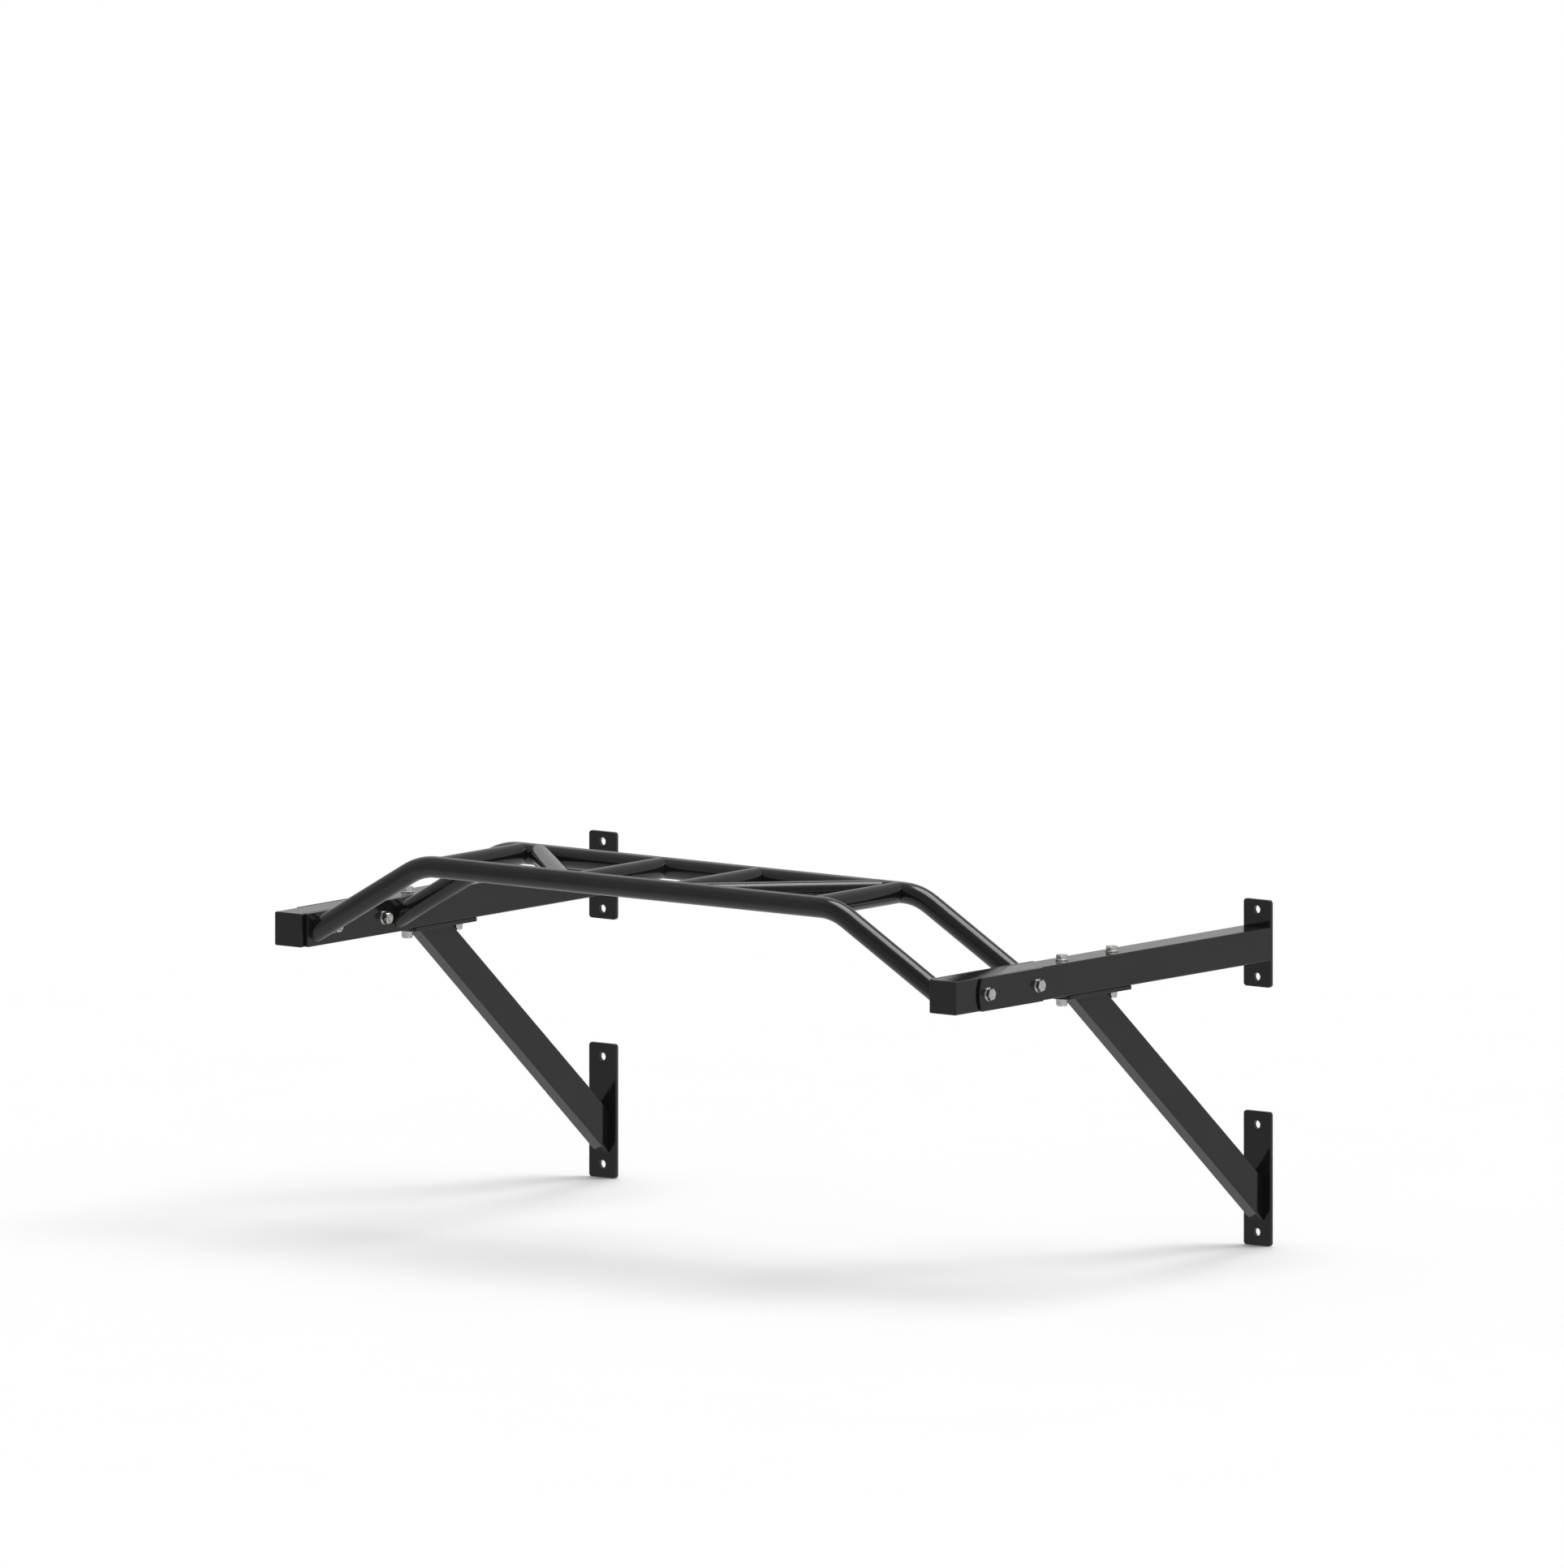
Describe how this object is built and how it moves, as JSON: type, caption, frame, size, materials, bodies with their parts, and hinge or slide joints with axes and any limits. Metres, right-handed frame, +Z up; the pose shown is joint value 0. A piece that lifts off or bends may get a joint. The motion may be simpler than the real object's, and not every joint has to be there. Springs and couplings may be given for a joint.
{
  "type": "pull up bar",
  "caption": "Wall-mounted pull up bar: braced square-tube arms carry a bolted frame of bent round rails with straight and angled grips.",
  "frame": {"origin": "on the wall's surface, midway between the two arms, at the height of the arms' axes", "axes": "+X along the wall to the right when facing it, +Y into the wall, +Z up"},
  "size_m": [1.2948, 0.763, 0.5765],
  "materials": {
    "black_paint": "semi-gloss",
    "plastic_cap": "fine grain",
    "zinc": "satin",
    "nylon": "matt"
  },
  "bodies": {
    "root": {"front_rail": "black_paint", "rear_rail": "black_paint", "left_arm_tube": "black_paint", "left_arm_end_cap": "plastic_cap", "left_upper_wall_plate": "black_paint", "left_lower_wall_plate": "black_paint", "left_brace_tube": "black_paint", "left_brace_top_plate": "black_paint", "left_bar_side_plate": "black_paint", "left_clamp_plate": "black_paint", "left_end_rung": "black_paint", "left_diagonal_grip": "black_paint", "left_centre_grip": "black_paint", "left_clamp_bolts": "zinc", "left_clamp_head_washers": "zinc", "left_clamp_nut_washers": "zinc", "left_clamp_lock_nuts": "zinc", "left_clamp_lock_rings": "nylon", "left_brace_bolts": "zinc", "left_brace_head_washers": "zinc", "left_brace_nut_washers": "zinc", "left_brace_lock_nuts": "zinc", "left_brace_lock_rings": "nylon", "right_arm_tube": "black_paint", "right_arm_end_cap": "plastic_cap", "right_upper_wall_plate": "black_paint", "right_lower_wall_plate": "black_paint", "right_brace_tube": "black_paint", "right_brace_top_plate": "black_paint", "right_bar_side_plate": "black_paint", "right_clamp_plate": "black_paint", "right_end_rung": "black_paint", "right_diagonal_grip": "black_paint", "right_centre_grip": "black_paint", "right_clamp_bolts": "zinc", "right_clamp_head_washers": "zinc", "right_clamp_nut_washers": "zinc", "right_clamp_lock_nuts": "zinc", "right_clamp_lock_rings": "nylon", "right_brace_bolts": "zinc", "right_brace_head_washers": "zinc", "right_brace_nut_washers": "zinc", "right_brace_lock_nuts": "zinc", "right_brace_lock_rings": "nylon"}
  },
  "joints": []
}
